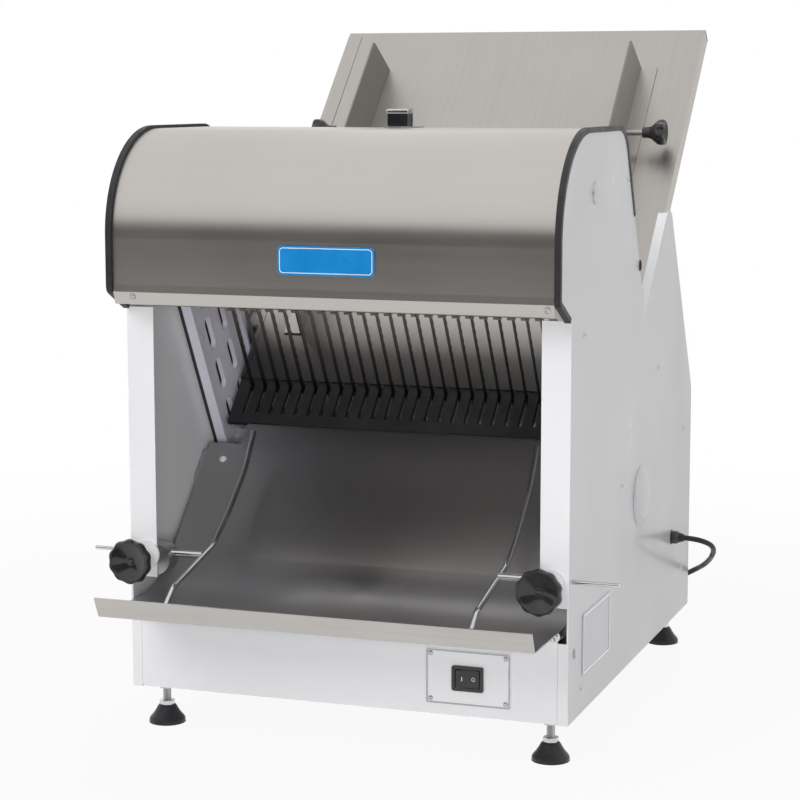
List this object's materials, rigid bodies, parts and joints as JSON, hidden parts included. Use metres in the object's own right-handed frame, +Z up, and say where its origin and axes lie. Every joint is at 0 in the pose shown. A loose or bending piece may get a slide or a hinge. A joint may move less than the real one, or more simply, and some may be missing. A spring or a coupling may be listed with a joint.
{
  "type": "electric bench bread slicer",
  "caption": "Electric bench-top bread slicer with a sloping infeed bed, a domed steel hood, counter-moving blade frames and a slice tray with wire guides.",
  "frame": {"origin": "on the floor, at the middle of the machine's box without its lead", "axes": "+X to the right seen from the front, +Y to the rear, +Z up"},
  "size_m": [0.6369, 0.8541, 0.8276],
  "materials": {
    "white_paint": "gloss",
    "hood_steel": "brushed",
    "tray_steel": "brushed",
    "bed_steel": "brushed",
    "zinc_steel": "satin",
    "black_rubber": "matte",
    "black_plastic": "gloss",
    "comb_plastic": "matte",
    "frame_paint": "satin",
    "blade_steel": "ground",
    "machined_steel": "machined",
    "chrome_wire": "polished",
    "cast_iron": "painted",
    "badge_blue": "gloss",
    "plate_alloy": "satin",
    "foot_rubber": "matte",
    "cord_rubber": "matte",
    "screw_steel": "polished"
  },
  "bodies": {
    "body": {"right_side_panel": "white_paint", "left_side_panel": "white_paint", "front_panel": "white_paint", "rear_cover": "white_paint", "base_pan": "zinc_steel", "hood": "hood_steel", "right_hood_trim": "black_rubber", "left_hood_trim": "black_rubber", "slice_tray": "tray_steel", "tray_brackets": "zinc_steel", "infeed_bed": "bed_steel", "bed_rails": "zinc_steel", "blade_comb": "comb_plastic", "right_slide_guide": "comb_plastic", "left_slide_guide": "comb_plastic", "bearing_blocks": "cast_iron", "drive_belt": "black_rubber", "motor": "cast_iron", "motor_mount": "zinc_steel", "clamp_bosses": "white_paint", "clamp_washers": "white_paint", "switch_plate": "white_paint", "switch_housing": "black_plastic", "foot_nuts": "screw_steel", "name_plate": "badge_blue", "rating_plate": "plate_alloy", "latch_strap": "screw_steel", "hood_latch": "black_plastic", "case_screws": "screw_steel", "panel_plugs": "plate_alloy", "cord_gland": "black_plastic", "mains_cord": "cord_rubber", "cord_coil": "cord_rubber", "cord_plug": "black_plastic"},
    "front_frame": {"front_blade_frame": "frame_paint", "front_blades": "blade_steel", "front_blade_hooks": "machined_steel"},
    "rear_frame": {"rear_blade_frame": "frame_paint", "rear_blades": "blade_steel", "rear_blade_hooks": "machined_steel"},
    "crank": {"crankshaft": "machined_steel", "crank_pulley": "cast_iron"},
    "motor_drive": {"motor_pulley": "cast_iron", "motor_shaft": "machined_steel"},
    "front_rod": {"front_connecting_rod": "machined_steel"},
    "rear_rod": {"rear_connecting_rod": "machined_steel"},
    "right_wire": {"right_wire_guide": "chrome_wire"},
    "left_wire": {"left_wire_guide": "chrome_wire"},
    "right_clamp": {"right_clamp_knob": "black_plastic"},
    "left_clamp": {"left_clamp_knob": "black_plastic"},
    "right_guide": {"right_loaf_guide": "bed_steel"},
    "left_guide": {"left_loaf_guide": "bed_steel"},
    "right_bed_knob": {"right_guide_knob": "black_plastic"},
    "left_bed_knob": {"left_guide_knob": "black_plastic"},
    "rocker": {"rocker": "black_plastic"},
    "front_left_foot": {"front_left_foot": "foot_rubber"},
    "rear_left_foot": {"rear_left_foot": "foot_rubber"},
    "front_right_foot": {"front_right_foot": "foot_rubber"},
    "rear_right_foot": {"rear_right_foot": "foot_rubber"}
  },
  "joints": [
    {"name": "front_frame_stroke", "type": "slide", "parent": "body", "child": "front_frame", "axis": [0, -0.5, 0.866], "range_m": [-0.02, 0.02]},
    {"name": "rear_frame_stroke", "type": "slide", "parent": "body", "child": "rear_frame", "axis": [0, -0.5, 0.866], "range_m": [-0.02, 0.02]},
    {"name": "crank_spin", "type": "hinge", "parent": "body", "child": "crank", "pos_m": [0, 0.10151, 0.12785], "axis": [1, 0, 0], "continuous": true},
    {"name": "motor_spin", "type": "hinge", "parent": "body", "child": "motor_drive", "pos_m": [0.16, -0.12198, 0.135], "axis": [1, 0, 0], "continuous": true},
    {"name": "front_rod_pivot", "type": "hinge", "parent": "crank", "child": "front_rod", "pos_m": [-0.06, 0.08419, 0.11785], "axis": [1, 0, 0], "continuous": true},
    {"name": "rear_rod_pivot", "type": "hinge", "parent": "crank", "child": "rear_rod", "pos_m": [0.06, 0.11883, 0.13785], "axis": [1, 0, 0], "continuous": true},
    {"name": "rocker_tilt", "type": "hinge", "parent": "body", "child": "rocker", "pos_m": [0.15, -0.31199, 0.095], "axis": [0, 0, 1], "range_deg": [-12, 0]},
    {"name": "right_wire_slide", "type": "slide", "parent": "body", "child": "right_wire", "axis": [-1, 0, 0], "range_m": [0, 0.045]},
    {"name": "right_clamp_turn", "type": "hinge", "parent": "body", "child": "right_clamp", "pos_m": [0.244, -0.34198, 0.21], "axis": [0, 1, 0], "range_deg": [0, 720]},
    {"name": "right_guide_slide", "type": "slide", "parent": "body", "child": "right_guide", "axis": [-1, 0, 0], "range_m": [0, 0.07]},
    {"name": "right_bed_knob_turn", "type": "hinge", "parent": "right_guide", "child": "right_bed_knob", "pos_m": [0.229, 0.23301, 0.692], "axis": [1, 0, 0], "range_deg": [0, 720]},
    {"name": "front_right_foot_turn", "type": "hinge", "parent": "body", "child": "front_right_foot", "pos_m": [0.237, -0.27898, 0.012], "axis": [0, 0, 1], "range_deg": [0, 360]},
    {"name": "rear_right_foot_turn", "type": "hinge", "parent": "body", "child": "rear_right_foot", "pos_m": [0.237, 0.29302, 0.012], "axis": [0, 0, 1], "range_deg": [0, 360]},
    {"name": "left_wire_slide", "type": "slide", "parent": "body", "child": "left_wire", "axis": [1, 0, 0], "range_m": [0, 0.045]},
    {"name": "left_clamp_turn", "type": "hinge", "parent": "body", "child": "left_clamp", "pos_m": [-0.244, -0.34198, 0.21], "axis": [0, 1, 0], "range_deg": [0, 720]},
    {"name": "left_guide_slide", "type": "slide", "parent": "body", "child": "left_guide", "axis": [1, 0, 0], "range_m": [0, 0.07]},
    {"name": "left_bed_knob_turn", "type": "hinge", "parent": "left_guide", "child": "left_bed_knob", "pos_m": [-0.229, 0.23301, 0.692], "axis": [1, 0, 0], "range_deg": [0, 720]},
    {"name": "front_left_foot_turn", "type": "hinge", "parent": "body", "child": "front_left_foot", "pos_m": [-0.237, -0.27898, 0.012], "axis": [0, 0, 1], "range_deg": [0, 360]},
    {"name": "rear_left_foot_turn", "type": "hinge", "parent": "body", "child": "rear_left_foot", "pos_m": [-0.237, 0.29302, 0.012], "axis": [0, 0, 1], "range_deg": [0, 360]}
  ],
  "couplings": [
    {"joint": "rear_frame_stroke", "follows": "front_frame_stroke", "ratio": -1},
    {"joint": "motor_spin", "follows": "crank_spin", "ratio": 2.5},
    {"joint": "front_rod_pivot", "follows": "crank_spin", "ratio": -1},
    {"joint": "rear_rod_pivot", "follows": "crank_spin", "ratio": -1}
  ]
}
